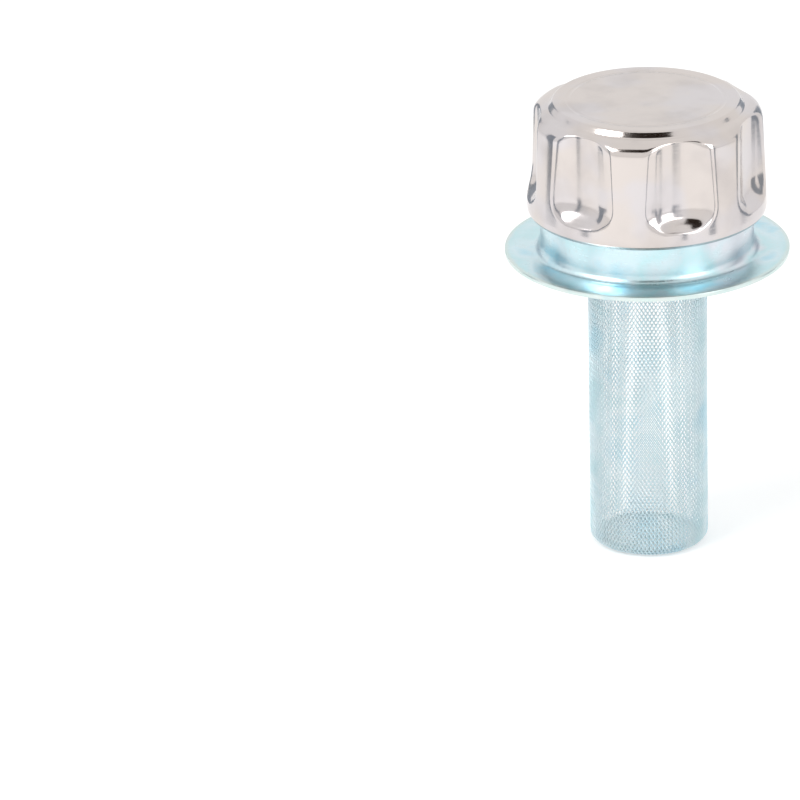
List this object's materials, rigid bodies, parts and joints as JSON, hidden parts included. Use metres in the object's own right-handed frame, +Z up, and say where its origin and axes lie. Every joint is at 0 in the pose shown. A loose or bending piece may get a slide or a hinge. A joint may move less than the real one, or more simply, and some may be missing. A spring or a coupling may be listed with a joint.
{
  "type": "hydraulic filler breather",
  "caption": "Weld-on filler breather for a hydraulic tank: pressed flange with bayonet neck, fluted chrome cap with air filter, and hanging mesh filling basket.",
  "frame": {"origin": "centre of the flange's underside, which lies on the tank top", "axes": "+Z up out of the tank along the cap's axis; +X through the middle of a bayonet notch in the neck's lip"},
  "size_m": [0.095, 0.095, 0.1575],
  "materials": {
    "chrome_shell": "bright nickel-chrome plate",
    "blue_zinc": "satin blue zinc plate",
    "mesh_zinc": "zinc plated woven wire",
    "yellow_zinc": "yellow chromated zinc plate",
    "bright_eyelet": "nickel plate",
    "black_rubber": "matt",
    "filter_foam": "open-cell foam"
  },
  "bodies": {
    "tank_fitting": {"flange_neck": "blue_zinc", "basket_seat": "blue_zinc", "basket_rim": "blue_zinc", "basket_crimp_ring": "blue_zinc", "basket_wall": "mesh_zinc", "basket_floor": "mesh_zinc"},
    "cap": {"cap_shell": "chrome_shell", "breather_disc": "blue_zinc", "cap_gasket": "black_rubber", "bayonet_plate": "yellow_zinc", "eyelet_1": "bright_eyelet", "eyelet_2": "bright_eyelet", "air_filter": "filter_foam"}
  },
  "joints": [
    {"name": "cap_turn", "type": "hinge", "parent": "tank_fitting", "child": "cap", "pos_m": [0, 0, 0], "axis": [0, 0, 1], "range_deg": [0, 60]}
  ]
}
